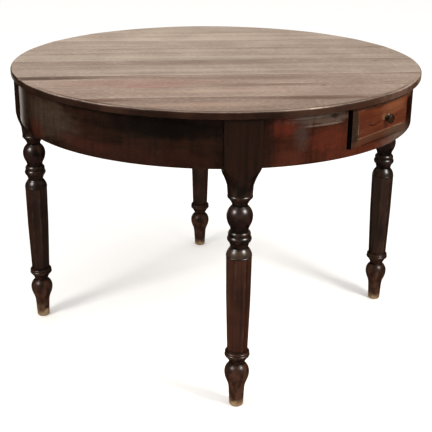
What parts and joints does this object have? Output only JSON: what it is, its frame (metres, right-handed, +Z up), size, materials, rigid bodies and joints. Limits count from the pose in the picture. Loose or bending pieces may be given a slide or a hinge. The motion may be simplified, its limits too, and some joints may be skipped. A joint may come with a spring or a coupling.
{
  "type": "round table",
  "caption": "Round kitchen table with a boarded top, curved aprons, turned and faceted legs and a dovetailed drawer under the top.",
  "frame": {"origin": "on the floor under the middle of the round top", "axes": "+Z up; -Y is the way the drawer opens; +X is to the right for someone facing the drawer"},
  "size_m": [1.0999, 1.0998, 0.76],
  "materials": {
    "top_wood": "scrubbed, dull, grey brown",
    "apron_wood": "old dark stain, worn satin",
    "leg_wood": "dark stain, rubbed to a low shine",
    "drawer_wood": "red brown stain, worn satin",
    "inner_wood": "bare, unfinished",
    "knob_wood": "dark, polished by use",
    "screw_steel": "dull"
  },
  "bodies": {
    "table": {"top_board_1": "top_wood", "top_board_2": "top_wood", "top_board_3": "top_wood", "top_board_4": "top_wood", "top_board_5": "top_wood", "top_board_6": "top_wood", "top_board_7": "top_wood", "top_board_8": "top_wood", "leg_front_left": "leg_wood", "leg_front_right": "leg_wood", "leg_back_right": "leg_wood", "leg_back_left": "leg_wood", "apron_front": "apron_wood", "apron_right": "apron_wood", "apron_back": "apron_wood", "apron_left": "apron_wood", "bearer_left": "inner_wood", "bearer_right": "inner_wood", "drawer_runner_left": "inner_wood", "drawer_runner_right": "inner_wood", "drawer_kicker_left": "inner_wood", "drawer_kicker_right": "inner_wood", "drawer_stops": "inner_wood", "glue_blocks": "inner_wood", "top_screws": "screw_steel"},
    "drawer": {"drawer_front": "drawer_wood", "drawer_side_left": "inner_wood", "drawer_side_right": "inner_wood", "drawer_back": "inner_wood", "drawer_bottom": "inner_wood", "drawer_knob": "knob_wood"}
  },
  "joints": [
    {"name": "drawer_slide", "type": "slide", "parent": "table", "child": "drawer", "axis": [0, -1, 0], "range_m": [0, 0.25]}
  ]
}
